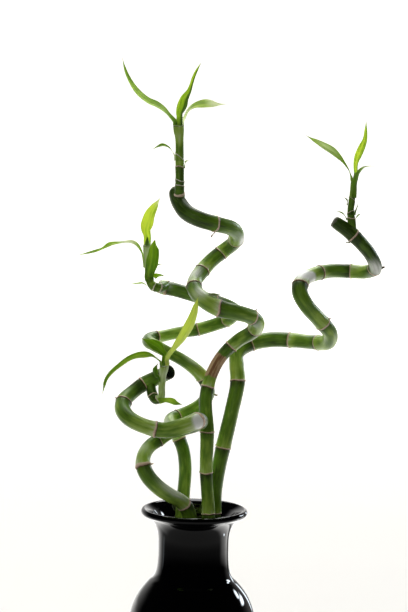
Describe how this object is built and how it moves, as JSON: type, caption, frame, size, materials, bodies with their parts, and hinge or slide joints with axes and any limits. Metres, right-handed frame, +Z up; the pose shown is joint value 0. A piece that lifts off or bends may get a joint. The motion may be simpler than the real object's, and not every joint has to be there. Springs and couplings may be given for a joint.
{
  "type": "lucky bamboo in a vase",
  "caption": "Trained canes of lucky bamboo that wind upwards out of a black glazed vase, with leafy side shoots near their sealed tops.",
  "frame": {"origin": "centre of the vase's flat foot", "axes": "+Z up along the vase's axis, +X to the right and -Y towards the viewer in the picture"},
  "size_m": [0.2672, 0.116, 0.5816],
  "materials": {
    "glaze": "gloss",
    "pebbles": "satin",
    "water": "polished",
    "cane": "satin",
    "wax": "gloss",
    "shoot": "satin",
    "leaf": "satin"
  },
  "bodies": {
    "root": {"vase": "glaze", "gravel": "pebbles", "water": "water", "cane_a": "cane", "seal_a": "wax", "stem_a": "shoot", "cane_b": "cane", "seal_b": "wax", "stem_b": "shoot", "cane_c": "cane", "seal_c": "wax", "stem_c": "shoot", "cane_d": "cane", "seal_d": "wax", "stem_d": "shoot", "leaf_a_1": "leaf", "leaf_a_2": "leaf", "leaf_a_3": "leaf", "leaf_a_4": "leaf", "leaf_a_5": "leaf", "leaf_b_1": "leaf", "leaf_b_2": "leaf", "leaf_b_3": "leaf", "leaf_b_4": "leaf", "leaf_b_5": "leaf", "leaf_b_6": "leaf", "leaf_c_1": "leaf", "leaf_c_2": "leaf", "leaf_c_3": "leaf", "leaf_c_4": "leaf", "leaf_c_5": "leaf", "leaf_d_1": "leaf", "leaf_d_2": "leaf", "leaf_d_3": "leaf", "leaf_d_4": "leaf", "leaf_d_5": "leaf", "leaf_d_6": "leaf", "leaf_d_7": "leaf"}
  },
  "joints": []
}
